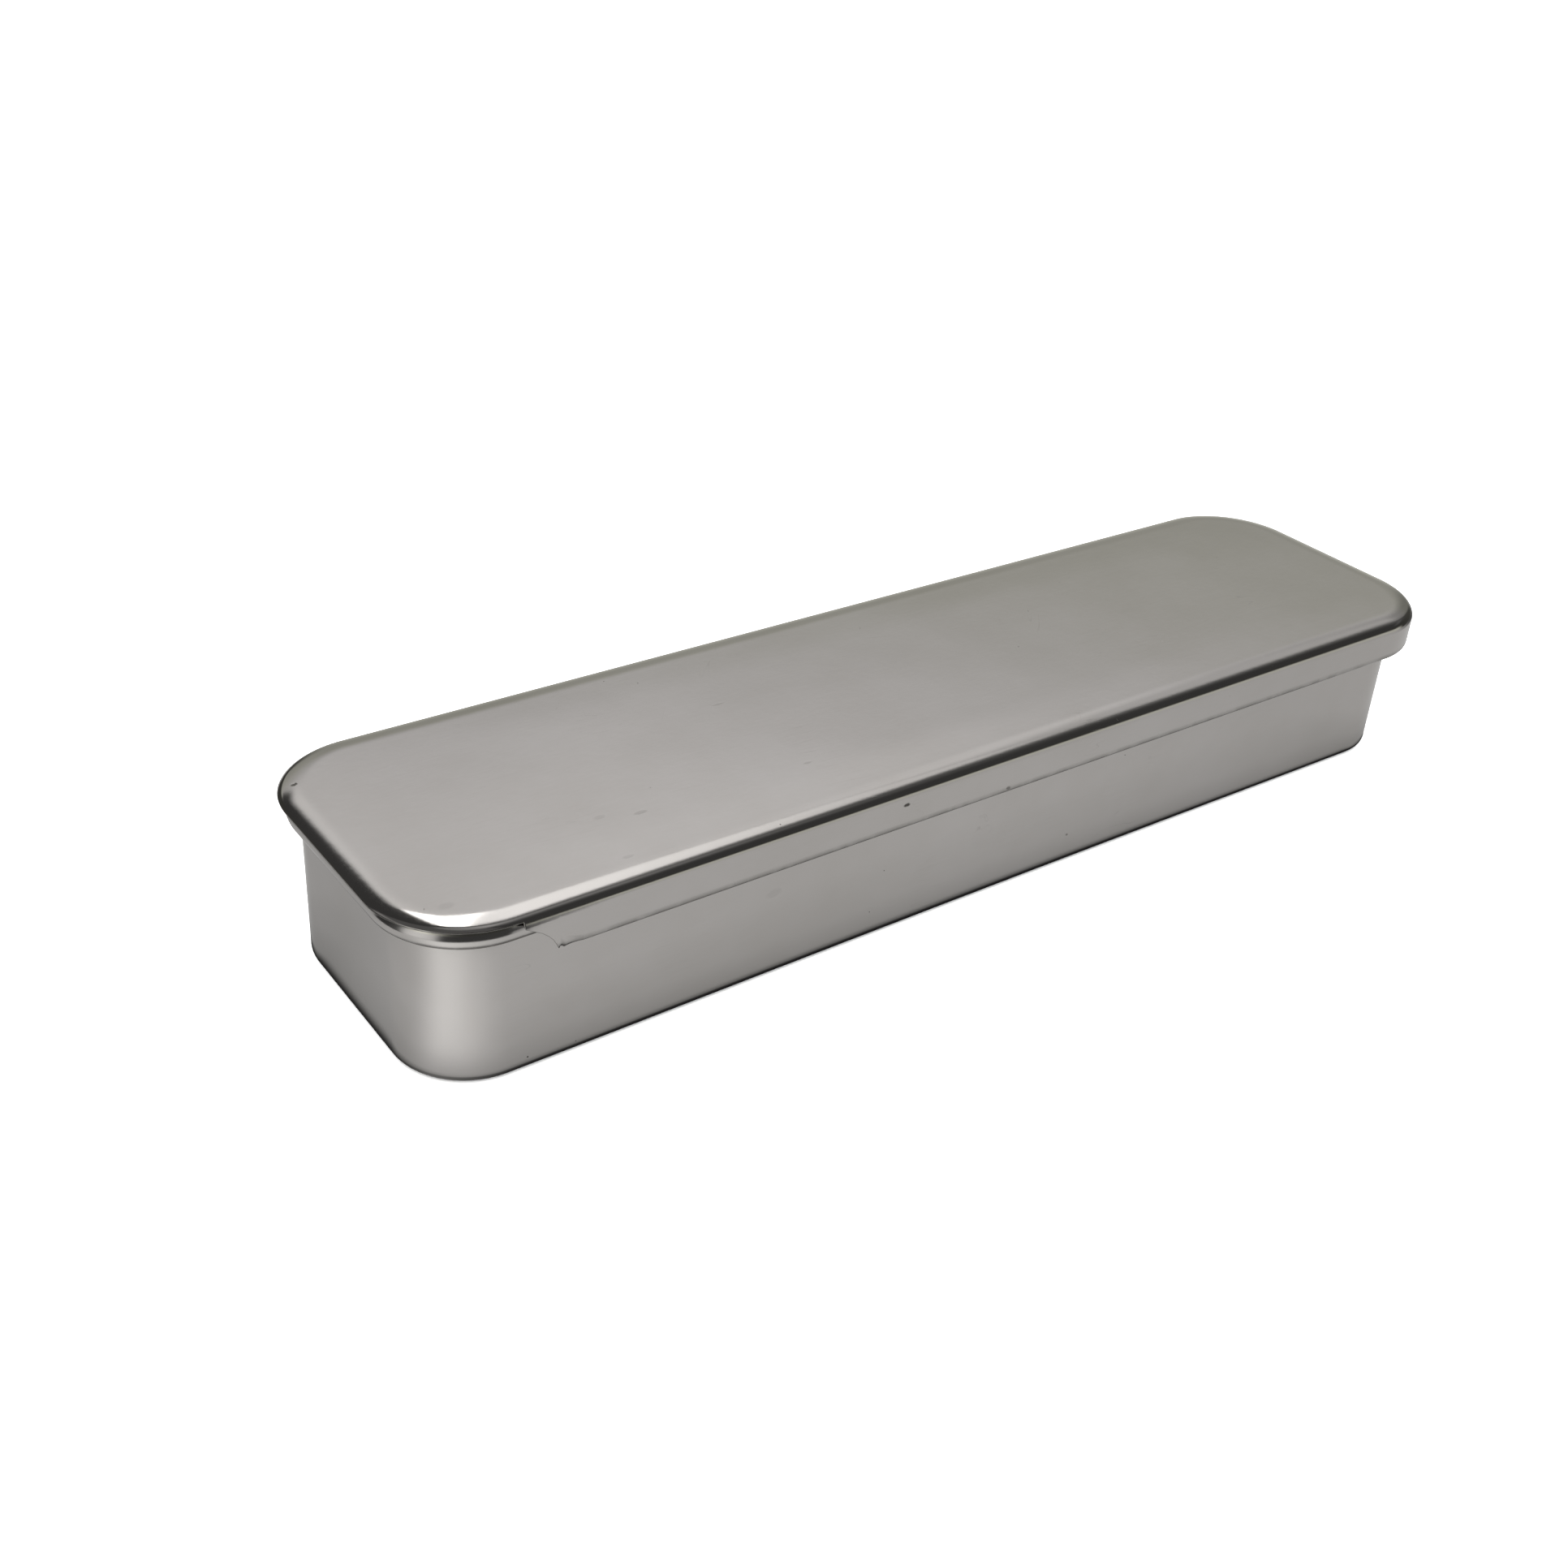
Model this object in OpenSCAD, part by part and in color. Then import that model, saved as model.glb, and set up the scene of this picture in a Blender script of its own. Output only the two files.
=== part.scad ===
// Slide-top tinplate tin for colored pencils, closed.
// Two pressed pieces: a seamless drawn base with an outward rolled rim, and a
// lid whose long sides and right end wrap under that rim. The left end of the
// lid has only a shallow lip, so the lid slides off towards +X.
// Origin: centre of the underside. X: length, lid slides to +X. Z: up.

/* [Overall] */
// Length of the closed tin, over the lid
tin_l = 190.5; // [150:0.5:230]
// Width of the closed tin, over the lid
tin_w = 50.8; // [42:0.2:80]
// Height of the closed tin
tin_h = 26.2; // [20:0.2:40]
// Corner radius of the lid, seen from above
corner_r = 14; // [12.5:0.1:18]
// Thickness of the tinplate
sheet_t = 0.3; // [0.2:0.02:0.34]

/* [Lid] */
// Width of the rounded shoulder between top panel and skirt
shoulder_w = 4; // [3:0.1:5]
// Height of the rounded shoulder
shoulder_h = 1.9; // [1.8:0.05:2.3]
// Tight radius where the shoulder turns down into the skirt
edge_r = 1.6; // [1.3:0.05:1.7]
// Height of the shallow lip at the left end
lip_h = 0.85; // [0.7:0.05:1.1]
// Height of the skirt on the long sides and the right end
skirt_h = 6.6; // [6.2:0.05:6.9]
// Outer radius of the inward hem along the bottom of the skirt
hem_r = 0.8; // [0.7:0.05:0.9]
// Height of the straight leg that stands up behind the hem
hem_leg = 0.8; // [0.3:0.1:1]
// Distance from the left end to where the skirt starts, at the lip
channel_top = 14.9; // [14:0.05:18]
// Distance from the left end to where the skirt starts, at its bottom edge
channel_bottom = 19.6; // [18.5:0.05:24]

/* [Base] */
// How far the wall of the base stands in from the edge of the lid
wall_inset = 3.1; // [2.9:0.05:3.3]
// Half the width of the rolled rim, which is an upright oval
rim_r = 1.1; // [0.9:0.05:1.15]
// Height of the rolled rim
rim_h = 3.4; // [3:0.1:3.6]
// Outer radius of the bend between floor and wall
bottom_r = 1.3; // [0.8:0.1:2.5]

/* [Motion] */
// Gap between the rolled rim and the lip that rides over it
ride_gap = 0.15; // [0.1:0.05:0.5]
// How far the lid is drawn open in this view
lid_open = 0; // [0:1:195]

/* [Hidden] */
half_x = tin_l / 2 - corner_r;      // corner centres
half_y = tin_w / 2 - corner_r;
wall_r = corner_r - wall_inset;     // outer wall radius at the corners
rim_cr = wall_r - sheet_t + rim_r;  // centre line of the rolled rim
rim_cz = tin_h - lip_h - ride_gap - rim_h / 2;
skirt_z = tin_h - skirt_h;
steps = 6;                          // facets to a quarter bend
// the shoulder is two arcs that meet smoothly: a tight one at the skirt and a
// wide one that flattens into the panel, ease degrees long
ease = 2 * atan((shoulder_h - edge_r) / (shoulder_w - edge_r));
ease_r = edge_r + (shoulder_w - edge_r) / sin(ease);

// points on an arc from a0 to a1 degrees
function arc(cx, cz, r, a0, a1, n) =
    [for (i = [0:n]) let (a = a0 + (a1 - a0) * i / n) [cx + r * cos(a), cz + r * sin(a)]];

// points on an upright oval, h high and 2 r wide, t inside its face
function oval(cx, cz, r, h, t, a0, a1, n) =
    [for (i = [0:n]) let (a = a0 + (a1 - a0) * i / n) [cx + (r - t) * cos(a), cz + (h / 2 - t) * sin(a)]];

// points on the shoulder from the panel down to the skirt, t inside its face
function shoulder(t) = concat(
    arc(corner_r - shoulder_w, tin_h - ease_r, ease_r - t, 90, 90 - ease, 4),
    arc(corner_r - edge_r, tin_h - shoulder_h, edge_r - t, 90 - ease - 6, 0, 2 * steps));

function backwards(list) = [for (i = [len(list) - 1:-1:0]) list[i]];

// section of the base, from its centre out: floor, bend, wall, rolled rim
function base_section() = concat(
    [[0, 0]],
    arc(wall_r - bottom_r, bottom_r, bottom_r, -90, 0, steps),
    oval(rim_cr, rim_cz, rim_r, rim_h, sheet_t, 180, -120, 3 * steps),
    oval(rim_cr, rim_cz, rim_r, rim_h, 0, -120, 180, 3 * steps),
    arc(wall_r - bottom_r, bottom_r, bottom_r - sheet_t, 0, -90, steps),
    [[0, sheet_t]]);

// section of the lid, from its centre out: panel, shoulder, skirt, inward hem
function lid_section() = concat(
    [[0, tin_h]],
    shoulder(0),
    arc(corner_r - hem_r, skirt_z + hem_r, hem_r, 0, -180, 2 * steps),
    [[corner_r - 2 * hem_r, skirt_z + hem_r + hem_leg],
     [corner_r - 2 * hem_r + sheet_t, skirt_z + hem_r + hem_leg]],
    arc(corner_r - hem_r, skirt_z + hem_r, hem_r - sheet_t, -180, 0, 2 * steps),
    backwards(shoulder(sheet_t)),
    [[0, tin_h - sheet_t]]);

// straight run of a section along +Y, facing +X, len long
module run(section, len) {
    translate([0, len / 2, 0]) rotate([90, 0, 0])
        linear_extrude(height = len) polygon(section);
}

// quarter turn of a section round the origin, from +X to +Y
module bend(section) {
    rotate_extrude(angle = 90, $fn = 96) polygon(section);
}

// closed tray: four quarter turns, four straight runs and the panel between
module pressed_tray(section, panel_z) {
    for (s = [0, 1]) rotate([0, 0, 180 * s]) {
        translate([half_x, half_y, 0]) bend(section);
        translate([-half_x, half_y, 0]) rotate([0, 0, 90]) bend(section);
        translate([half_x, 0, 0]) run(section, 2 * half_y);
        translate([0, half_y, 0]) rotate([0, 0, 90]) run(section, 2 * half_x);
    }
    translate([-half_x, -half_y, panel_z]) cube([2 * half_x, 2 * half_y, sheet_t]);
}

module tin_base() {
    color([0.74, 0.75, 0.75]) pressed_tray(base_section(), 0);
}

// what is cut away from the skirt at the left end, leaving the shallow lip
module channel_mouth() {
    x0 = -tin_l / 2;
    zl = tin_h - lip_h;
    rotate([90, 0, 0]) translate([0, 0, -tin_w])
        linear_extrude(height = 2 * tin_w)
            polygon([[x0 - 5, skirt_z - 2],
                     [x0 + channel_bottom, skirt_z - 2],
                     [x0 + channel_bottom, skirt_z],
                     [x0 + channel_top + 0.95 * (channel_bottom - channel_top), skirt_z + 0.12 * (zl - skirt_z)],
                     [x0 + channel_top + 0.8 * (channel_bottom - channel_top), skirt_z + 0.35 * (zl - skirt_z)],
                     [x0 + channel_top + 0.49 * (channel_bottom - channel_top), skirt_z + 0.63 * (zl - skirt_z)],
                     [x0 + channel_top, skirt_z + 0.8 * (zl - skirt_z)],
                     [x0 + channel_top, zl],
                     [x0 - 5, zl]]);
}

module sliding_lid() {
    color([0.80, 0.81, 0.81]) translate([lid_open, 0, 0]) difference() {
        pressed_tray(lid_section(), tin_h - sheet_t);
        channel_mouth();
    }
}

tin_base();
sliding_lid();
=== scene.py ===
"""Slide-top tinplate pencil tin: the looks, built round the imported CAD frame.

Two pressed tinplate pieces, a drawn base with a rolled rim and a sliding lid.
Lengths in the shape code are millimetres in the CAD's frame; metres outside it.
"""
import math

import bpy
from mathutils import Matrix, Vector, noise


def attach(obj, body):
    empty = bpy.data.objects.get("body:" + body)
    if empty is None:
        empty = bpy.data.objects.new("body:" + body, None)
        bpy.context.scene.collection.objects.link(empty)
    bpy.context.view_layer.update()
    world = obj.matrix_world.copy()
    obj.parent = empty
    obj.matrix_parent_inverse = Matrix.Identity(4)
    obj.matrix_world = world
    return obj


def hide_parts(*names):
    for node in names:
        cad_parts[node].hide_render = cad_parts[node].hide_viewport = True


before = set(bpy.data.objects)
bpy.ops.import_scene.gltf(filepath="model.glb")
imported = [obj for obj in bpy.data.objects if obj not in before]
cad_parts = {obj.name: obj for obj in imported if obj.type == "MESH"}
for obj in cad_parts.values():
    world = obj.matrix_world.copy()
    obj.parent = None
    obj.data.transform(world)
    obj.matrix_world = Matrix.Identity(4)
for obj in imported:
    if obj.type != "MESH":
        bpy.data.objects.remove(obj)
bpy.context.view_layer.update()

MM = 0.001

# ---------------------------------------------------------------- sizes, as in the CAD
TIN_L, TIN_W, TIN_H = 190.5, 50.8, 26.2
CORNER_R = 14.0
SHEET = 0.3
SHOULDER_W, SHOULDER_H, EDGE_R = 4.0, 1.9, 1.6
LIP_H, SKIRT_H, HEM_R, HEM_LEG = 0.85, 6.6, 0.8, 0.8
WALL_INSET, RIM_R, RIM_H, BOTTOM_R, RIDE_GAP = 3.1, 1.1, 3.4, 1.3, 0.15
HX, HY = TIN_L / 2 - CORNER_R, TIN_W / 2 - CORNER_R
WALL_R = CORNER_R - WALL_INSET
RIM_CR = WALL_R - SHEET + RIM_R
RIM_CZ = TIN_H - LIP_H - RIDE_GAP - RIM_H / 2
SKIRT_Z = TIN_H - SKIRT_H
EASE = 2 * math.atan((SHOULDER_H - EDGE_R) / (SHOULDER_W - EDGE_R))
EASE_R = EDGE_R + (SHOULDER_W - EDGE_R) / math.sin(EASE)


# ---------------------------------------------------------------- camera
def make_camera():
    f_px, az, el, dist, tx, ty, roll = 2320.41, -37.743, 31.146, 296.741, -18.427, 4.653, 4.027
    a, e, r = math.radians(az), math.radians(el), math.radians(roll)
    back = Vector((math.sin(a) * math.cos(e), -math.cos(a) * math.cos(e), math.sin(e)))
    right = (-back).cross(Vector((0, 0, 1))).normalized()
    up = right.cross(-back)
    place = right * tx + up * ty + back * dist
    right2 = right * math.cos(r) + up * math.sin(r)
    up2 = up * math.cos(r) - right * math.sin(r)
    data = bpy.data.cameras.new("camera")
    data.lens = 36.0 * f_px / 1932.0
    data.sensor_width = 36.0
    data.clip_start, data.clip_end = 0.01, 50.0
    cam = bpy.data.objects.new("camera", data)
    m = Matrix((right2, up2, back)).transposed().to_4x4()
    m.translation = place * MM
    cam.matrix_world = m
    bpy.context.scene.collection.objects.link(cam)
    bpy.context.scene.camera = cam


make_camera()


# ---------------------------------------------------------------- sections of the sheet
def arc(cx, cz, r, a0, a1, n):
    return [(cx + r * math.cos(math.radians(a0 + (a1 - a0) * i / n)),
             cz + r * math.sin(math.radians(a0 + (a1 - a0) * i / n))) for i in range(n + 1)]


def oval(cx, cz, r, h, t, a0, a1, n):
    return [(cx + (r - t) * math.cos(math.radians(a0 + (a1 - a0) * i / n)),
             cz + (h / 2 - t) * math.sin(math.radians(a0 + (a1 - a0) * i / n))) for i in range(n + 1)]


def line(p, q, n):
    """points between p and q, both left out"""
    return [(p[0] + (q[0] - p[0]) * i / n, p[1] + (q[1] - p[1]) * i / n) for i in range(1, n)]


def stations(hx, hy, n_corner, xs, ys):
    """Places round a rounded rectangle: (centre x, centre y, outward x, outward y).
    It starts at the right end of the front side and runs counterclockwise.
    xs and ys are the inner stops along the long and the short side."""
    out = []

    def corner(cx, cy, a0):
        for i in range(n_corner + 1):
            a = math.radians(a0 + 90.0 * i / n_corner)
            out.append((cx, cy, round(math.cos(a), 12), round(math.sin(a), 12), (cx, cy)))

    corner(hx, -hy, 270)
    out.extend((hx, y, 1.0, 0.0, (hx, y)) for y in ys)
    corner(hx, hy, 0)
    out.extend((x, hy, 0.0, 1.0, (x, hy)) for x in reversed(xs))
    corner(-hx, hy, 90)
    out.extend((-hx, y, -1.0, 0.0, (-hx, y)) for y in reversed(ys))
    corner(-hx, -hy, 180)
    out.extend((x, -hy, 0.0, -1.0, (x, -hy)) for x in xs)
    return out


class Shell:
    """A mesh grown from rings of stations and two flat grids."""

    def __init__(self, hx, hy, n_corner, xs, ys):
        self.hx, self.hy, self.xs, self.ys = hx, hy, [-hx] + xs + [hx], [-hy] + ys + [hy]
        self.st = stations(hx, hy, n_corner, xs, ys)
        self.v, self.f = [], []
        self.painted_shade = {}

    def vert(self, co):
        self.v.append(co)
        return len(self.v) - 1

    def grid(self, z, move, up):
        """the flat rectangle between the corner centres; gives its rim as a ring"""
        nx, ny = len(self.xs), len(self.ys)
        g = {}
        for i, x in enumerate(self.xs):
            for j, y in enumerate(self.ys):
                g[(i, j)] = self.vert(move((x, y, z)))
        for i in range(nx - 1):
            for j in range(ny - 1):
                q = (g[(i, j)], g[(i + 1, j)], g[(i + 1, j + 1)], g[(i, j + 1)])
                self.f.append(q if up else q[::-1])
        ix = {round(x, 9): i for i, x in enumerate(self.xs)}
        iy = {round(y, 9): j for j, y in enumerate(self.ys)}
        return [g[(ix[round(s[4][0], 9)], iy[round(s[4][1], 9)])] for s in self.st]

    def ring(self, r, z, move):
        return [self.vert(move((s[0] + r * s[2], s[1] + r * s[3], z))) for s in self.st]

    def skin(self, a, b, flip=False, only=None):
        """faces between ring a and the next ring b outward along the section"""
        n = len(a)
        for i in range(n):
            if only is not None and not only(i):
                continue
            j = (i + 1) % n
            q = [a[i], b[i], b[j], a[j]]
            out = []
            for k in q:
                if k not in out:
                    out.append(k)
            if len(out) < 3:
                continue
            self.f.append(tuple(out[::-1]) if flip else tuple(out))

    def build(self, name):
        me = bpy.data.meshes.new(name)
        me.from_pydata([(x * MM, y * MM, z * MM) for x, y, z in self.v], [], self.f)
        me.validate()
        me.update()
        me.shade_smooth()
        # per-vertex painted shade for the seam, the rim gap and raw edges
        at = me.attributes.new("painted_shade", "FLOAT", "POINT")
        for k, g in self.painted_shade.items():
            at.data[k].value = g
        ob = bpy.data.objects.new(name, me)
        bpy.context.scene.collection.objects.link(ob)
        return ob


def even(a, b, n):
    """n-1 inner stops between a and b"""
    return [a + (b - a) * i / n for i in range(1, n)]


# ---------------------------------------------------------------- slight unevenness of pressed sheet
def soft(x):
    x = max(0.0, min(1.0, x))
    return x * x * (3 - 2 * x)


def edge_distance(x, y):
    """how far (x, y) lies inside the lid's outline"""
    qx, qy = abs(x) - HX, abs(y) - HY
    return CORNER_R - math.hypot(max(qx, 0), max(qy, 0)) - min(max(qx, qy), 0)


def lid_move(p):
    x, y, z = p
    d = edge_distance(x, y)
    m = soft((d - 2.0) / 9.0)
    # the panel is crowned by a tenth of a millimetre and not quite flat
    crown = 0.10 * m * (1 - (x / 110.0) ** 2)
    wave = 0.035 * m * noise.noise(Vector((x / 34.0, y / 19.0, 3.7)))
    wave += 0.010 * m * noise.noise(Vector((x / 11.0, y / 9.0, 9.1)))
    # the skirt bows a few hundredths along its length
    s = soft((TIN_H - 1.6 - z) / 2.0)
    bow = 0.05 * s * noise.noise(Vector((x / 42.0, 5.0 if y > 0 else -5.0, 1.3)))
    if abs(y) > HY and abs(x) < HX:
        y += bow * (1 if y > 0 else -1) * soft((HX - abs(x)) / 12.0)
    return (x, y, z + crown + wave)


def base_move(p):
    x, y, z = p
    if z < 0.02 or z > RIM_CZ - 1.5:
        k = 0.0
    else:
        k = soft(z / 8.0) * soft((RIM_CZ - 1.2 - z) / 6.0)
    if abs(x) < HX and z < RIM_CZ - 1.5:
        low = soft((abs(y) - HY) / 8.0) * soft((RIM_CZ - 1.5 - z) / 14.0)
        y -= 0.30 * low * (1 - (x / HX) ** 2) ** 1.5 * (1 if y > 0 else -1)
    if k > 0 and abs(y) > HY + 2 and abs(x) < HX:
        b = (-0.06 * (1 - (x / HX) ** 2) + 0.05 * noise.noise(Vector((x / 30.0, z / 14.0, 2.0 if y > 0 else 8.0))))
        y += k * b * (1 if y > 0 else -1) * soft((HX - abs(x)) / 10.0)
    if k > 0 and abs(x) > HX + 2 and abs(y) < HY:
        x += k * 0.04 * noise.noise(Vector((y / 12.0, z / 12.0, 4.0))) * (1 if x > 0 else -1) * soft((HY - abs(y)) / 5.0)
    return (x, y, z)


# ---------------------------------------------------------------- the base
def make_base():
    sh = Shell(HX, HY, 28, even(-HX, HX, 60), even(-HY, HY, 12))
    br, t = BOTTOM_R, SHEET
    bend = WALL_R - br
    outer = [(r, 0.0) for r in (1.5, 3.0, 5.0, 7.0, 8.6, 9.3)]
    outer += arc(bend, br, br, -90, 0, 14)
    outer += line((WALL_R, br), (WALL_R, RIM_CZ), 14)
    curl = oval(RIM_CR, RIM_CZ, RIM_R, RIM_H, t, 180, -120, 44)
    back = oval(RIM_CR, RIM_CZ, RIM_R, RIM_H, 0, -120, 180, 44)
    inner = line((WALL_R - t, RIM_CZ), (WALL_R - t, br), 14)
    inner += arc(bend, br, br - t, 0, -90, 14)
    inner += [(r, t) for r in (9.3, 8.6, 7.0, 5.0, 3.0, 1.5)]
    # the sheet's raw edge inside the curl is slightly rounded
    ea, eb = curl[-1], back[0]
    a = math.radians(-120)
    tip = ((ea[0] + eb[0]) / 2 + 0.08 * math.sin(a), (ea[1] + eb[1]) / 2 - 0.08 * math.cos(a))
    points = outer + curl + [tip] + back + inner
    first = sh.grid(0.0, base_move, up=False)
    last = first
    under = len(outer) + len(curl)
    for i, (r, z) in enumerate(points):
        ring = sh.ring(r, z, base_move)
        # painted shade under the rolled rim and in its gap: the sheet is darkened where shadow falls
        if under - 1 <= i <= under + 22:
            g = 1.0 if i == under - 1 else 0.95 * soft((RIM_CZ - 0.62 - z) / 0.6)
            for k in ring:
                sh.painted_shade[k] = g
        sh.skin(last, ring, flip=True)
        last = ring
    end = sh.grid(t, base_move, up=True)
    sh.skin(last, end, flip=True)
    return sh.build("tin_base_shell")


# ---------------------------------------------------------------- the lid
MOUTH = [  # along the skirt's front edge: distance from the left end, height below the top
    (14.9, LIP_H), (14.93, 1.5), (15.05, 1.85), (16.1, 2.5), (17.2, 3.15), (18.1, 3.95), (18.72, 4.7), (19.15, 5.5),
    (19.42, 6.1), (19.62, 6.42), (20.4, SKIRT_H)]


def lid_paths():
    """outer face of the lid's section from the panel to the lip, and from the lip to the hem's tip"""
    t = SHEET
    dip = math.degrees(math.asin((SHOULDER_H - LIP_H) / EDGE_R))

    def shoulder(off):
        return (arc(CORNER_R - SHOULDER_W, TIN_H - EASE_R, EASE_R - off, 90, 90 - math.degrees(EASE), 8)
                + arc(CORNER_R - EDGE_R, TIN_H - SHOULDER_H, EDGE_R - off, 90 - math.degrees(EASE), dip, 10)[1:])

    def skirt(off):
        p = arc(CORNER_R - EDGE_R, TIN_H - SHOULDER_H, EDGE_R - off, dip, 0, 10)[1:]
        p += line((CORNER_R - off, TIN_H - SHOULDER_H), (CORNER_R - off, SKIRT_Z + HEM_R), 8)
        p += arc(CORNER_R - HEM_R, SKIRT_Z + HEM_R, HEM_R - off, 0, -180, 20)
        p += line((CORNER_R - 2 * HEM_R + off, SKIRT_Z + HEM_R), (CORNER_R - 2 * HEM_R + off, SKIRT_Z + HEM_R + HEM_LEG), 4)
        p += [(CORNER_R - 2 * HEM_R + off, SKIRT_Z + HEM_R + HEM_LEG)]
        return p

    flat = [1.5, 3.0, 5.0, 7.0, 8.6, 9.6]
    out_a = [(r, TIN_H) for r in flat] + shoulder(0.0)
    in_a = [(r, TIN_H - t) for r in flat] + shoulder(t)
    return out_a, in_a, skirt(0.0), skirt(t)


def length_to(path, start, z_stop):
    """arc length from start along path until it has come down to z_stop"""
    s, last = 0.0, start
    for p in path:
        if p[1] <= z_stop + 1e-9 and last[1] > z_stop:
            k = (last[1] - z_stop) / max(last[1] - p[1], 1e-9)
            return s + k * math.dist(last, p)
        s += math.dist(last, p)
        last = p
    return s


def at_length(path, start, s):
    last = start
    for p in path:
        d = math.dist(last, p)
        if s <= d:
            k = s / d if d > 1e-12 else 0
            return (last[0] + (p[0] - last[0]) * k, last[1] + (p[1] - last[1]) * k)
        s -= d
        last = p
    return path[-1]


def make_lid():
    x0 = -TIN_L / 2
    mouth_x = [x0 + d for d, _ in MOUTH]
    xs = sorted(set([round(x, 6) for x in mouth_x if x > -HX + 1e-6] + [round(x, 6) for x in even(mouth_x[-1], HX, 58)]))
    sh = Shell(HX, HY, 28, xs, even(-HY, HY, 12))
    out_a, in_a, out_b, in_b = lid_paths()

    def grow(path, z):
        ring = sh.grid(z, lid_move, up=(z == TIN_H))
        rings = [ring]
        for r, zz in path:
            rings.append(sh.ring(r, zz, lid_move))
        return rings

    outer = grow(out_a, TIN_H)
    for a, b in zip(outer, outer[1:]):
        sh.skin(a, b)
    inner = grow(in_a, TIN_H - SHEET)
    for a, b in zip(inner, inner[1:]):
        sh.skin(a, b, flip=True)

    # the skirt hangs from the stations right of the mouths
    n = len(sh.st)
    full_o = sum(math.dist(p, q) for p, q in zip([out_a[-1]] + out_b, out_b))
    stop_at = {}
    for i, s in enumerate(sh.st):
        straight = abs(s[3]) > 0.999 and s[0] <= mouth_x[-1] + 1e-6
        left = s[0] <= -HX + 1e-6 and not (abs(s[3]) > 0.999)
        if left or (straight and s[0] < mouth_x[0] - 1e-6) or (s[0] <= -HX + 1e-6):
            stop_at[i] = None            # lip only
        elif straight:
            d = s[0] - x0
            for (d0, h0), (d1, h1) in zip(MOUTH, MOUTH[1:]):
                if d0 - 1e-6 <= d <= d1 + 1e-6:
                    h = h0 + (h1 - h0) * (d - d0) / (d1 - d0)
                    break
            z = TIN_H - h
            if h <= LIP_H + 1e-6:
                stop_at[i] = 0.0
            elif h >= SKIRT_H - 1e-6:
                stop_at[i] = 0.86        # the curled-in part starts a little further right
            else:
                stop_at[i] = length_to(out_b, out_a[-1], z) / full_o
        else:
            stop_at[i] = 1.0

    def strip(path, start, top):
        total = sum(math.dist(p, q) for p, q in zip([start] + path, path))
        marks = []
        s, last = 0.0, start
        for p in path:
            s += math.dist(last, p)
            last = p
            marks.append(s / total)
        rings = [top]
        for m in marks:
            ring = []
            for i, stn in enumerate(sh.st):
                k = stop_at[i]
                if k is None or k == 0.0:
                    ring.append(top[i])
                else:
                    r, z = at_length(path, start, total * m * k)
                    ring.append(sh.vert(lid_move((stn[0] + r * stn[2], stn[1] + r * stn[3], z))))
                    # painted shade: darker towards the seam under the hem, and along the mouth's cut edge
                    sh.painted_shade[ring[-1]] = 0.85 * soft((SKIRT_Z + 1.5 - z) / 1.1) ** 1.5
                    if k < 0.8 and m > 0.97:
                        sh.painted_shade[ring[-1]] = 0.8
            rings.append(ring)
        return rings

    ro = strip(out_b, out_a[-1], outer[-1])
    ri = strip(in_b, in_a[-1], inner[-1])

    def hangs(i):
        a, b = stop_at[i], stop_at[(i + 1) % n]
        return (a or 0) > 0 or (b or 0) > 0

    for a, b in zip(ro, ro[1:]):
        sh.skin(a, b, only=hangs)
    for a, b in zip(ri, ri[1:]):
        sh.skin(a, b, flip=True, only=hangs)
    # the raw edge all round, slightly rounded
    eo, ei = ro[-1], ri[-1]
    po, pi_ = ro[-2], ri[-2]
    mid = []
    for i in range(n):
        a, b = Vector(sh.v[eo[i]]), Vector(sh.v[ei[i]])
        ref = po[i] if po[i] != eo[i] else outer[-2][i]
        d = (a - Vector(sh.v[ref]))
        d = d.normalized() if d.length > 1e-9 else Vector((0, 0, -1))
        mid.append(sh.vert(tuple((a + b) / 2 + d * 0.07)))
        # painted shade along the raw edge, strongest where only the lip hangs over the gap
        sh.painted_shade[mid[-1]] = 1.3
        if not stop_at[i]:
            sh.painted_shade[eo[i]] = 1.0
            sh.painted_shade[ei[i]] = 1.3
    sh.skin(eo, mid)
    sh.skin(mid, ei)
    return sh.build("sliding_lid_shell")


base = make_base()
lid = make_lid()


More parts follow.
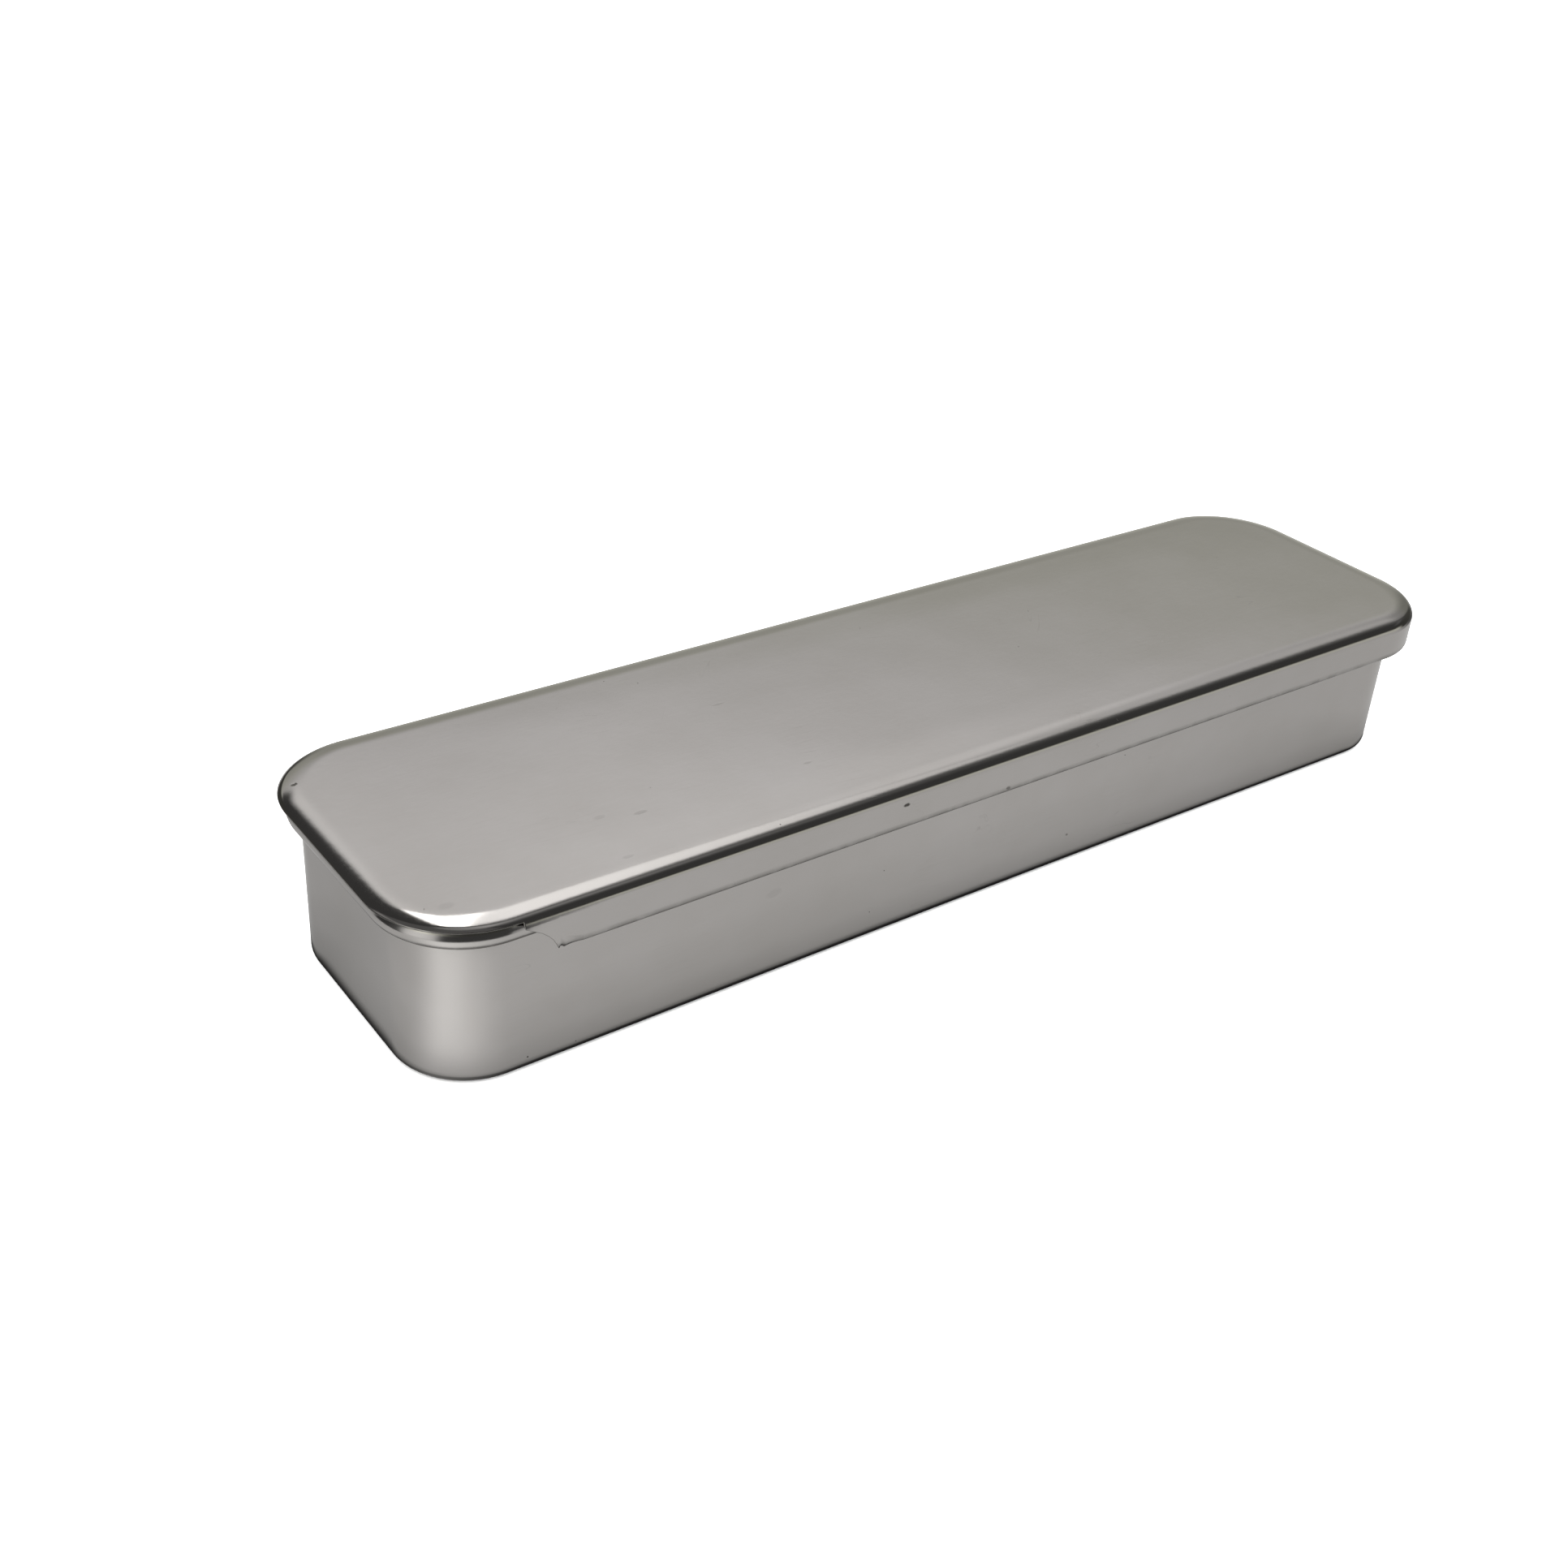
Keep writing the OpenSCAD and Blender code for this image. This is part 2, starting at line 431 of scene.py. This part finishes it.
# ---------------------------------------------------------------- tinplate
def tinplate(name, tint, rough, seed):
    mat = bpy.data.materials.new(name)
    mat.use_nodes = True
    nt = mat.node_tree
    nt.nodes.clear()
    N, L = nt.nodes, nt.links

    def node(kind, **sets):
        nd = N.new(kind)
        for k, v in sets.items():
            setattr(nd, k, v)
        return nd

    def math_(op, a, b=None, c=None, clamp=False):
        nd = node("ShaderNodeMath", operation=op, use_clamp=clamp)
        for i, v in enumerate((a, b, c)):
            if v is None:
                continue
            if isinstance(v, (int, float)):
                nd.inputs[i].default_value = v
            else:
                L.new(v, nd.inputs[i])
        return nd.outputs[0]

    def vec(op, a, b=None, scale=None):
        nd = node("ShaderNodeVectorMath", operation=op)
        for i, v in enumerate((a, b)):
            if v is None:
                continue
            if isinstance(v, (tuple, list)):
                nd.inputs[i].default_value = v
            else:
                L.new(v, nd.inputs[i])
        if scale is not None:
            nd.inputs["Scale"].default_value = scale
        return nd.outputs["Value"] if op in ("LENGTH", "DISTANCE", "DOT_PRODUCT") else nd.outputs[0]

    def ramp(value, lo, hi, to_lo=0.0, to_hi=1.0, smooth=True):
        nd = node("ShaderNodeMapRange", interpolation_type="SMOOTHSTEP" if smooth else "LINEAR")
        L.new(value, nd.inputs["Value"])
        nd.inputs["From Min"].default_value = lo
        nd.inputs["From Max"].default_value = hi
        nd.inputs["To Min"].default_value = to_lo
        nd.inputs["To Max"].default_value = to_hi
        return nd.outputs["Result"]

    def noise_(vector, scale, detail=2.0, rough_=0.5, distortion=0.0):
        nd = node("ShaderNodeTexNoise")
        L.new(vector, nd.inputs["Vector"])
        nd.inputs["Scale"].default_value = scale
        nd.inputs["Detail"].default_value = detail
        nd.inputs["Roughness"].default_value = rough_
        nd.inputs["Distortion"].default_value = distortion
        return nd.outputs["Fac"]

    out = node("ShaderNodeOutputMaterial")
    bsdf = node("ShaderNodeBsdfPrincipled")
    L.new(bsdf.outputs[0], out.inputs[0])
    tc = node("ShaderNodeTexCoord")
    mm = vec("SCALE", tc.outputs["Object"], scale=1000.0)          # millimetres
    off = vec("ADD", mm, (seed * 13.7, seed * 7.3, seed * 3.1))

    # rolling grain: fine streaks along the strip, which ran along X
    stretch = vec("MULTIPLY", off, (0.035, 1.0, 1.0))
    grain = noise_(stretch, 5.5, 4.0, 0.65)
    fine = noise_(stretch, 19.0, 2.0, 0.6)
    streak = math_("ADD", math_("MULTIPLY", grain, 0.6), math_("MULTIPLY", fine, 0.4))

    # cloudy differences in the tin coating
    cloud = noise_(off, 0.045, 3.0, 0.55)
    blotch = noise_(off, 0.22, 4.0, 0.6)

    # hairline scratches: thin level lines of stretched noise, only in patches
    def hairs(angle, scale, width, patch_scale, patch_lo, patch_hi):
        rot = node("ShaderNodeVectorRotate", rotation_type="Z_AXIS")
        rot.inputs["Angle"].default_value = angle
        L.new(off, rot.inputs["Vector"])
        s = vec("MULTIPLY", rot.outputs[0], (0.05, 1.0, 1.0))
        n = noise_(s, scale, 1.0, 0.5)
        lines = ramp(math_("ABSOLUTE", math_("SUBTRACT", n, 0.5)), 0.0, width, 1.0, 0.0)
        patch = ramp(noise_(rot.outputs[0], patch_scale, 2.0, 0.5), patch_lo, patch_hi)
        return math_("MULTIPLY", lines, patch)

    h1 = hairs(0.12, 0.55, 0.006, 0.06, 0.55, 0.70)
    h2 = hairs(-0.9, 0.35, 0.005, 0.05, 0.60, 0.72)
    hair = math_("MAXIMUM", h1, math_("MULTIPLY", h2, 0.7))

    # pin-head specks
    def specks(scale, keep, size):
        v = node("ShaderNodeTexVoronoi", feature="F1")
        L.new(off, v.inputs["Vector"])
        v.inputs["Scale"].default_value = scale
        v.inputs["Randomness"].default_value = 1.0
        sep = node("ShaderNodeSeparateColor")
        L.new(v.outputs["Color"], sep.inputs[0])
        on = math_("GREATER_THAN", sep.outputs[0], keep)
        dot = ramp(v.outputs["Distance"], size * 0.5, size, 1.0, 0.0)
        return math_("MULTIPLY", on, dot)

    speck = math_("MAXIMUM", specks(0.16, 0.80, 0.022), specks(0.5, 0.93, 0.05))

    # single marks seen on the tin, x, y, z and the half sizes of each, in mm
    def mark(x, y, z, sx, sy, sz, strength=1.0):
        wob = vec("SCALE", vec("SUBTRACT", colour_noise, (0.5, 0.5, 0.5)), scale=0.35)
        d = vec("SUBTRACT", vec("ADD", mm, wob), (x, y, z))
        d = vec("DIVIDE", d, (sx, sy, sz))
        return ramp(vec("LENGTH", d), 0.55, 1.15, strength, 0.0)

    cn = node("ShaderNodeTexNoise")
    L.new(mm, cn.inputs["Vector"])
    cn.inputs["Scale"].default_value = 2.5
    colour_noise = cn.outputs["Color"]
    marks = None
    for m in MARKS[name]:
        got = mark(*m)
        marks = got if marks is None else math_("MAXIMUM", marks, got)

    dark = math_("MAXIMUM", speck, marks)
    # painted shade along raw edges, in the seam and under the rim, read from the mesh and made patchy
    at = node("ShaderNodeAttribute", attribute_name="painted_shade")
    patchy = ramp(noise_(off, 0.35, 3.0, 0.6), 0.30, 0.62, 0.55, 1.0)
    dark = math_("MAXIMUM", dark, math_("MULTIPLY", math_("MULTIPLY", at.outputs["Fac"], patchy), 0.75))

    # colour
    base_col = node("ShaderNodeMix", data_type="RGBA")
    base_col.inputs[6].default_value = (tint[0] * 0.955, tint[1] * 0.955, tint[2] * 0.945, 1)
    base_col.inputs[7].default_value = (tint[0] * 1.03, tint[1] * 1.035, tint[2] * 1.04, 1)
    mix = math_("ADD", math_("MULTIPLY", cloud, 0.55), math_("MULTIPLY", streak, 0.30))
    mix = math_("ADD", mix, math_("MULTIPLY", blotch, 0.15))
    L.new(ramp(mix, 0.36, 0.64, 0, 1, smooth=False), base_col.inputs[0])
    haired = node("ShaderNodeMix", data_type="RGBA")
    L.new(math_("MULTIPLY", hair, 0.35), haired.inputs[0])
    L.new(base_col.outputs[2], haired.inputs[6])
    haired.inputs[7].default_value = (tint[0] * 0.62, tint[1] * 0.62, tint[2] * 0.61, 1)
    # the specks and marks, and the painted shade, all mix towards this near-black
    spotted = node("ShaderNodeMix", data_type="RGBA")
    L.new(math_("MULTIPLY", dark, 0.85), spotted.inputs[0])
    L.new(haired.outputs[2], spotted.inputs[6])
    spotted.inputs[7].default_value = (0.045, 0.040, 0.034, 1)
    L.new(spotted.outputs[2], bsdf.inputs["Base Color"])
    bsdf.inputs["Metallic"].default_value = 1.0

    # roughness
    r = math_("ADD", rough, math_("MULTIPLY", math_("SUBTRACT", streak, 0.5), 0.10))
    r = math_("ADD", r, math_("MULTIPLY", math_("SUBTRACT", cloud, 0.5), 0.07))
    r = math_("ADD", r, math_("MULTIPLY", hair, 0.12))
    r = math_("ADD", r, math_("MULTIPLY", dark, 0.35), clamp=True)
    L.new(r, bsdf.inputs["Roughness"])

    # fine relief, in metres
    relief = math_("MULTIPLY", math_("SUBTRACT", streak, 0.5), 0.0000016)
    relief = math_("ADD", relief, math_("MULTIPLY", math_("SUBTRACT", noise_(off, 0.9, 2.0, 0.5), 0.5), 0.0000035))
    relief = math_("ADD", relief, math_("MULTIPLY", hair, -0.000003))
    relief = math_("ADD", relief, math_("MULTIPLY", dark, -0.00004))
    bump = node("ShaderNodeBump")
    bump.inputs["Strength"].default_value = 1.0
    bump.inputs["Distance"].default_value = 1.0
    L.new(relief, bump.inputs["Height"])
    L.new(bump.outputs[0], bsdf.inputs["Normal"])
    return mat


MARKS = {
    "lid_tinplate_look": [
        (-21.6, -25.4, 23.6, 0.62, 0.6, 0.32, 1.0),
        (-2.7, -25.4, 20.5, 0.5, 0.6, 0.4, 0.7),
        (-91.5, 16.4, 26.1, 0.5, 0.35, 0.6, 0.8),
        (-31.0, 6.9, 26.3, 1.1, 0.25, 0.6, 0.10),
        (-56.1, -12.3, 26.3, 1.1, 0.4, 0.6, 0.16),
        (-61.3, -10.6, 26.3, 0.9, 0.5, 0.6, 0.08),
        (-62.9, -20.3, 26.3, 0.9, 0.4, 0.6, 0.10),
        (-29.5, -13.0, 26.3, 0.7, 0.3, 0.6, 0.12),
        (-87.2, -18.4, 26.3, 1.2, 0.7, 0.6, 0.10),
    ],
    "base_tinplate_look": [
        (14.7, -22.3, 5.0, 0.35, 0.5, 0.3, 0.8),
        (-40.8, -22.3, 13.9, 1.4, 0.8, 0.8, 0.06),
    ],
}

lid.data.materials.append(tinplate("lid_tinplate_look", (0.56, 0.54, 0.523), 0.10, 1.0))
base.data.materials.append(tinplate("base_tinplate_look", (0.56, 0.54, 0.523), 0.13, 2.0))

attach(base, "base")
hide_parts("tin_base")
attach(lid, "lid")
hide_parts("sliding_lid")


# ---------------------------------------------------------------- floor and light
def make_plane(name, half, z, mat):
    me = bpy.data.meshes.new(name)
    me.from_pydata([(-half, -half, z), (half, -half, z), (half, half, z), (-half, half, z)], [], [(0, 1, 2, 3)])
    me.update()
    me.materials.append(mat)
    ob = bpy.data.objects.new(name, me)
    bpy.context.scene.collection.objects.link(ob)
    return ob


class Nodes:
    """short hands for building a value out of nodes"""

    def __init__(self, tree):
        self.t = tree
        tree.nodes.clear()

    def new(self, kind, **sets):
        nd = self.t.nodes.new(kind)
        for k, v in sets.items():
            setattr(nd, k, v)
        return nd

    def put(self, sock, v):
        if isinstance(v, (int, float, tuple, list)):
            sock.default_value = v
        else:
            self.t.links.new(v, sock)

    def m(self, op, a, b=None, clamp=False):
        nd = self.new("ShaderNodeMath", operation=op, use_clamp=clamp)
        self.put(nd.inputs[0], a)
        if b is not None:
            self.put(nd.inputs[1], b)
        return nd.outputs[0]

    def add(self, *a):
        out = a[0]
        for v in a[1:]:
            out = self.m("ADD", out, v)
        return out

    def mul(self, *a):
        out = a[0]
        for v in a[1:]:
            out = self.m("MULTIPLY", out, v)
        return out

    def ss(self, v, lo, hi, a=0.0, b=1.0, kind="SMOOTHSTEP"):
        nd = self.new("ShaderNodeMapRange", interpolation_type=kind)
        self.put(nd.inputs["Value"], v)
        for k, val in (("From Min", lo), ("From Max", hi), ("To Min", a), ("To Max", b)):
            nd.inputs[k].default_value = val
        return nd.outputs["Result"]

    def steps(self, v, stops):
        """piecewise straight curve through (place, value) stops"""
        out = None
        for (p0, v0), (p1, v1) in zip(stops, stops[1:]):
            seg = self.ss(v, p0, p1, 0.0, v1 - v0, kind="LINEAR")
            out = seg if out is None else self.m("ADD", out, seg)
        return self.m("ADD", out, stops[0][1])

    def turn(self, x, y, centre):
        """how many degrees the level direction (x, y) lies from an azimuth"""
        c, s_ = math.cos(math.radians(centre)), math.sin(math.radians(centre))
        dot = self.m("ADD", self.m("MULTIPLY", x, c), self.m("MULTIPLY", y, s_))
        ln = self.m("SQRT", self.m("ADD", self.m("MULTIPLY", x, x), self.m("MULTIPLY", y, y)))
        q = self.m("DIVIDE", dot, self.m("MAXIMUM", ln, 1e-6))
        q = self.m("MINIMUM", self.m("MAXIMUM", q, -1.0), 1.0)
        return self.m("MULTIPLY", self.m("ARCCOSINE", q), 180 / math.pi)

    def bell(self, v, width):
        q = self.m("DIVIDE", v, width)
        return self.m("EXPONENT", self.m("MULTIPLY", self.m("MULTIPLY", q, q), -1.0))


def make_floor():
    # the pale floor as it's seen
    mat = bpy.data.materials.new("floor_white")
    mat.use_nodes = True
    b = mat.node_tree.nodes["Principled BSDF"]
    b.inputs["Base Color"].default_value = (0.86, 0.86, 0.86, 1)
    b.inputs["Roughness"].default_value = 0.9
    b.inputs["Specular IOR Level"].default_value = 0.1
    seen = make_plane("floor", 3.0, 0.0, mat)
    seen.visible_glossy = False

    # a glowing plane that only the metal sees, in place of the floor: a painted reflection with painted contact
    # shade round the tin and painted pools of light
    mat = bpy.data.materials.new("painted_floor_reflection")
    mat.use_nodes = True
    n = Nodes(mat.node_tree)
    out, em = n.new("ShaderNodeOutputMaterial"), n.new("ShaderNodeEmission")
    n.put(out.inputs[0], em.outputs[0])
    tc = n.new("ShaderNodeTexCoord")
    sep = n.new("ShaderNodeSeparateXYZ")
    n.put(sep.inputs[0], tc.outputs["Object"])
    x, y = n.mul(sep.outputs[0], 1000.0), n.mul(sep.outputs[1], 1000.0)
    qx = n.m("MAXIMUM", n.m("SUBTRACT", n.m("ABSOLUTE", x), HX), 0.0)
    qy = n.m("MAXIMUM", n.m("SUBTRACT", n.m("ABSOLUTE", y), HY), 0.0)
    d = n.m("SUBTRACT", n.m("SQRT", n.add(n.mul(qx, qx), n.mul(qy, qy))), WALL_R)
    # painted contact shade: darker close round the tin's footprint, and towards the left end
    near = n.steps(d, FLOOR_NEAR)
    near = n.mul(near, n.m("SUBTRACT", 1.0, n.mul(n.ss(y, -8, 26, 0.06, 0.25), n.ss(x, -86, -95))),
                 n.ss(x, 10, 90, 1.0, 0.93))
    # painted pools of light on the mirrored floor to the left front
    cx, cy = n.add(x, HX), n.add(y, HY)
    t = n.turn(cx, cy, -140.0)
    side = n.ss(n.add(n.mul(cx, math.cos(math.radians(-51.0))), n.mul(cy, math.sin(math.radians(-51.0)))), -1.0, 1.0, 26.0, 38.0)
    wedge = n.mul(n.bell(t, side), FLOOR_WEDGE, n.ss(d, 0.5, 9.0, 0.35, 1.0), n.ss(d, 28.0, 40.0, 1.0, 0.0))
    far = n.mul(n.bell(n.turn(cx, cy, -163.0), 17.0), n.ss(d, 27.0, 50.0, 0.0, 0.35))
    # painted shadow on the mirrored floor, where whoever holds the camera keeps the light off the floor
    ca = n.mul(n.m("ARCTAN2", cy, cx), 180 / math.pi)
    dim = n.mul(n.ss(ca, -150.0, -138.0), n.ss(n.m("SUBTRACT", ca, n.ss(d, 45.0, 70.0, 0.0, 5.0)), -76.0, -66.0, 1, 0), n.ss(d, 27.0, 39.0))
    dim = n.add(dim, n.mul(n.ss(n.turn(cx, cy, 162.0), 12.0, 24.0, 1, 0), n.ss(d, 34.5, 39.0)),
                n.mul(n.bell(n.turn(n.m("SUBTRACT", x, HX), cy, 2.0), 26.0), n.ss(d, 60.0, 110.0)))
    near = n.mul(near, n.m("SUBTRACT", 1.0, n.mul(dim, 0.9)))
    # painted light on the mirrored floor far behind to the right
    back = n.mul(n.bell(n.turn(x, y, 33.0), 22.0), n.ss(d, 60.0, 300.0, 0.0, 0.35))
    n.put(em.inputs["Strength"], n.add(near, wedge, far, back))
    em.inputs["Color"].default_value = (1, 0.995, 0.985, 1)
    ob = make_plane("painted_floor_glow", 3.0, -0.00002, mat)
    ob.visible_camera = ob.visible_diffuse = ob.visible_shadow = False
    ob.visible_transmission = ob.visible_volume_scatter = False


# glow of the mirrored floor by distance from the tin, dark close in as painted contact shade; FLOOR_WEDGE sets the
# painted pool of light
FLOOR_NEAR = [(-0.6, 0.01), (0.7, 0.04), (1.8, 0.40), (6.0, 0.51), (14.0, 0.60), (30.0, 0.61), (60.0, 0.61)]
FLOOR_WEDGE = 0.44


def make_lights():
    # even light from above for the floor, which the metal doesn't mirror
    sun = bpy.data.lights.new("fill", "SUN")
    sun.energy = 9.0
    sun.angle = math.radians(150)
    ob = bpy.data.objects.new("fill", sun)
    ob.location = (0, 0, 1)
    ob.visible_glossy = False
    bpy.context.scene.collection.objects.link(ob)


def make_world():
    """The room that the metal mirrors: a pale wall behind, a window above it, dark
    gaps to the left and in front, a soft ceiling. Azimuth runs from +X towards +Y."""
    w = bpy.data.worlds.new("world")
    bpy.context.scene.world = w
    w.use_nodes = True
    n = Nodes(w.node_tree)
    out, bg = n.new("ShaderNodeOutputWorld"), n.new("ShaderNodeBackground")
    tc = n.new("ShaderNodeTexCoord")
    sep = n.new("ShaderNodeSeparateXYZ")
    n.put(sep.inputs[0], tc.outputs["Generated"])
    x, y, z = sep.outputs[0], sep.outputs[1], sep.outputs[2]
    az = n.mul(n.m("ARCTAN2", y, x), 180 / math.pi)
    el = n.mul(n.m("ARCSINE", n.m("MINIMUM", n.m("MAXIMUM", z, -1.0), 1.0)), 180 / math.pi)

    lift = n.m("SUBTRACT", el, n.ss(az, 61, 67, 0.0, 4.6))
    wall = n.steps(el, [(0, 0.60), (6, 0.44), (12, 0.34), (20, 0.36), (22, 0.39), (25, 0.47), (27, 0.53), (30, 0.65), (33, 0.75), (42, 0.79)])
    # the wall ends further to the left lower down
    left = n.m("SUBTRACT", az, n.steps(el, [(10, 75.0), (15, 77.0), (20, 92.0), (25, 98.0), (28, 86.0), (31, 79.5), (34, 83.0), (37, 83.5), (40, 79.0)]))
    right = n.m("SUBTRACT", az, n.steps(el, [(28, 20.0), (36, 22.5), (50, 34.5), (57, 45.0), (63, 52.0)]))
    edge = n.add(n.ss(right, -6, 2, 0.0, 0.86), n.ss(right, -36, 0, 0.0, 0.14))
    wall = n.mul(wall, n.steps(az, [(58, 1.0), (66, 0.93), (71, 0.98), (75, 1.05)]), n.ss(left, -4, 4, 1, 0),
                 edge, n.ss(lift, 41.5, 43.5, 1, 0))
    wall = n.mul(wall, n.m("SUBTRACT", 1.0, n.mul(n.ss(az, 31, 40, 0.30, 0), n.ss(el, 26, 31))),
                 n.m("SUBTRACT", 1.0, n.mul(n.ss(az, 67.5, 72, 0, 0.13), n.ss(el, 27, 32, 1, 0))),
                 n.m("SUBTRACT", 1.0, n.mul(n.ss(az, 24, 31, 0.5, 0), n.ss(el, 27, 34, 1, 0))))
    # the window
    key = n.steps(n.add(az, el), [(62, 0.52), (75, 0.71), (82, 0.80), (90, 1.08), (100, 1.34), (110, 1.26)])
    key = n.add(key, n.ss(az, 60.5, 63, 0.0, 2.2))
    top = n.m("SUBTRACT", el, n.steps(az, [(50, 57.0), (64, 62.5)]))
    key = n.mul(key, n.ss(az, 75.5, 79, 1, 0), edge, n.ss(lift, 42.0, 43.6), n.ss(top, 0, 8, 1, 0))
    # a bright patch low down to the left, and the far side of the floor in front
    rear = n.mul(n.bell(n.turn(x, y, -162.0), 18.0), n.ss(el, 20, 30, 1.05, 0))
    front = n.mul(n.ss(az, -71, -63), n.ss(az, -30, -18, 1, 0), n.ss(el, 9, 20, 0.55, 0))
    # light from the ceiling, to the right of straight above
    c, e = math.radians(10.0), math.radians(73.0)
    dot = n.add(n.mul(x, math.cos(c) * math.cos(e)), n.mul(y, math.sin(c) * math.cos(e)), n.mul(z, math.sin(e)))
    ceiling = n.mul(n.bell(n.m("ARCCOSINE", n.m("MINIMUM", dot, 1.0)), math.radians(14.0)), 0.28)
    # the room behind the camera, and the ceiling, much dimmer
    rest = n.mul(n.add(n.ss(az, -80, -66, 1, 0), n.ss(az, 134, 142)), n.ss(el, 21, 27, 0.0, 0.21),
                 n.ss(el, 37, 46, 1.0, 0.30))
    rest = n.add(rest, n.mul(n.ss(az, -22, -12), n.ss(az, 4, 14, 1, 0), n.ss(el, 27, 30, 0.0, 0.05), n.ss(el, 32, 36, 1, 0)))
    rest = n.m("MAXIMUM", rest, n.ss(el, 72, 80, 0.0, 0.20))
    n.put(bg.inputs["Strength"], n.add(wall, key, rear, front, ceiling, rest, 0.052))
    col = n.new("ShaderNodeMix", data_type="RGBA")
    n.put(col.inputs[0], n.ss(el, 21, 29))
    col.inputs[6].default_value = (1.0, 1.0, 0.90, 1)
    col.inputs[7].default_value = (1.0, 0.99, 0.985, 1)
    n.put(bg.inputs["Color"], col.outputs[2])
    # the room isn't seen past the floor's far edge, only a white backdrop
    back = n.new("ShaderNodeBackground")
    back.inputs["Color"].default_value = (1, 1, 1, 1)
    back.inputs["Strength"].default_value = 1.2
    lp, mix = n.new("ShaderNodeLightPath"), n.new("ShaderNodeMixShader")
    n.put(mix.inputs[0], lp.outputs["Is Camera Ray"])
    n.put(mix.inputs[1], bg.outputs[0])
    n.put(mix.inputs[2], back.outputs[0])
    n.put(out.inputs[0], mix.outputs[0])


make_floor()
make_lights()
make_world()

sc = bpy.context.scene
sc.view_settings.view_transform = "Standard"
sc.view_settings.look = "None"
sc.view_settings.exposure = 0.0
sc.view_settings.gamma = 1.0
